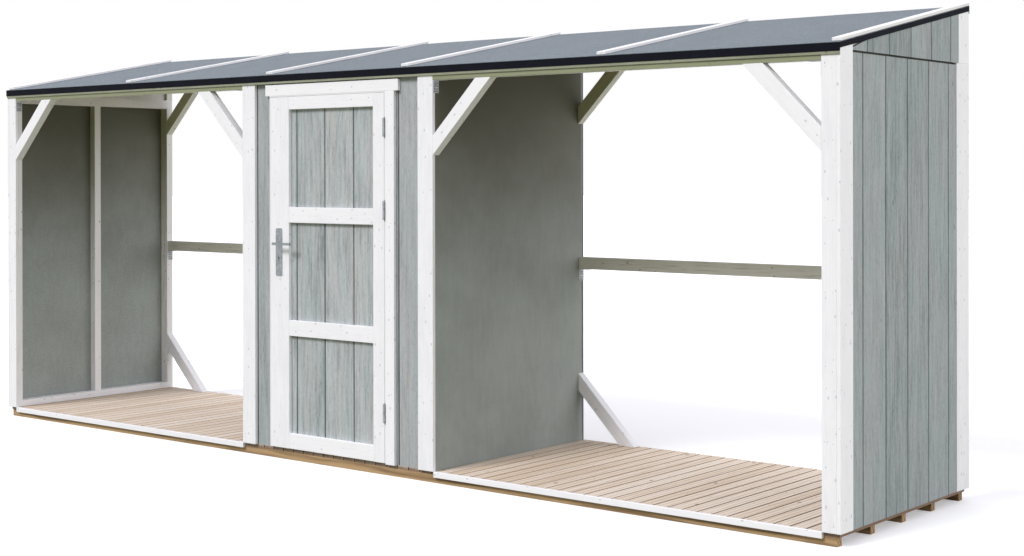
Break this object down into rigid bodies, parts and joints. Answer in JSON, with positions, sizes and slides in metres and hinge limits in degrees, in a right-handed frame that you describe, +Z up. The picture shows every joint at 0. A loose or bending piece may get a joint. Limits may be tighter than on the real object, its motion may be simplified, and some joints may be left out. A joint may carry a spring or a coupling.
{
  "type": "log store with tool cupboard",
  "caption": "Long lean-to garden log store with open bays on either side of a closed tool cupboard with a hinged door, on timber runners.",
  "frame": {"origin": "middle of the whole box in plan, at the underside of the runners", "axes": "+X along the length to the right as seen from the front, +Y from the front to the higher back, +Z up"},
  "size_m": [5.504, 1.244, 2.1875],
  "materials": {
    "white_timber": "thin white paint with small grey knots, satin",
    "grey_boarding": "cool grey wash over grooved boards, matt",
    "grey_sheet": "smooth grey painted sheet, matt",
    "floor_boards": "planed bare softwood",
    "runner_wood": "brown pressure-treated sawn timber",
    "roofing_felt": "blue-grey mineral-faced roofing felt",
    "felt_edge": "near-black turned-down felt edge",
    "handle_metal": "satin grey lever handle and plates",
    "zinc_steel": "dull zinc-plated steel"
  },
  "bodies": {
    "store": {"runners": "runner_wood", "floor_left": "floor_boards", "floor_cupboard": "floor_boards", "floor_right": "floor_boards", "front_sills": "white_timber", "corner_posts": "white_timber", "corner_boards": "white_timber", "end_wall_linings": "grey_sheet", "wall_left": "grey_boarding", "wall_right": "grey_boarding", "end_wall_rails": "white_timber", "end_wall_studs": "white_timber", "gable_left": "grey_boarding", "gable_right": "grey_boarding", "gable_back_boards": "white_timber", "gable_frames": "white_timber", "cupboard_wall_left": "grey_sheet", "cupboard_wall_right": "grey_sheet", "cupboard_wall_back": "grey_boarding", "cupboard_front_left": "grey_boarding", "cupboard_front_right": "grey_boarding", "cupboard_front_over_door": "grey_boarding", "cupboard_studs": "white_timber", "door_jambs": "white_timber", "door_lintel": "white_timber", "front_trims": "white_timber", "door_head_trim": "white_timber", "front_beams": "white_timber", "back_beam": "white_timber", "back_rails": "white_timber", "beam_brackets": "zinc_steel", "rail_brackets": "zinc_steel", "front_braces": "white_timber", "back_upper_braces": "white_timber", "back_lower_braces": "white_timber", "rafters": "white_timber", "roof_deck": "floor_boards", "roof_felt": "roofing_felt", "felt_eaves": "felt_edge", "felt_verges": "felt_edge", "fascia_boards": "white_timber", "roof_battens": "white_timber", "hinge_frame_leaves": "zinc_steel"},
    "door": {"door_stiles": "white_timber", "door_rails": "white_timber", "door_boards": "grey_boarding", "handle_plates": "handle_metal", "hinge_door_leaves": "zinc_steel"},
    "lever": {"lever_outer": "handle_metal", "lever_inner": "handle_metal", "lever_spindle": "handle_metal"}
  },
  "joints": [
    {"name": "door_swing", "type": "hinge", "parent": "store", "child": "door", "pos_m": [0.35, -0.5815, 0.054], "axis": [0, 0, 1], "range_deg": [0, 170]},
    {"name": "lever_turn", "type": "hinge", "parent": "door", "child": "lever", "pos_m": [-0.382, -0.558, 1.088], "axis": [0, 1, 0], "range_deg": [0, 40], "stiffness_Nm_per_rad": 1.5, "springref_deg": -20.05}
  ]
}
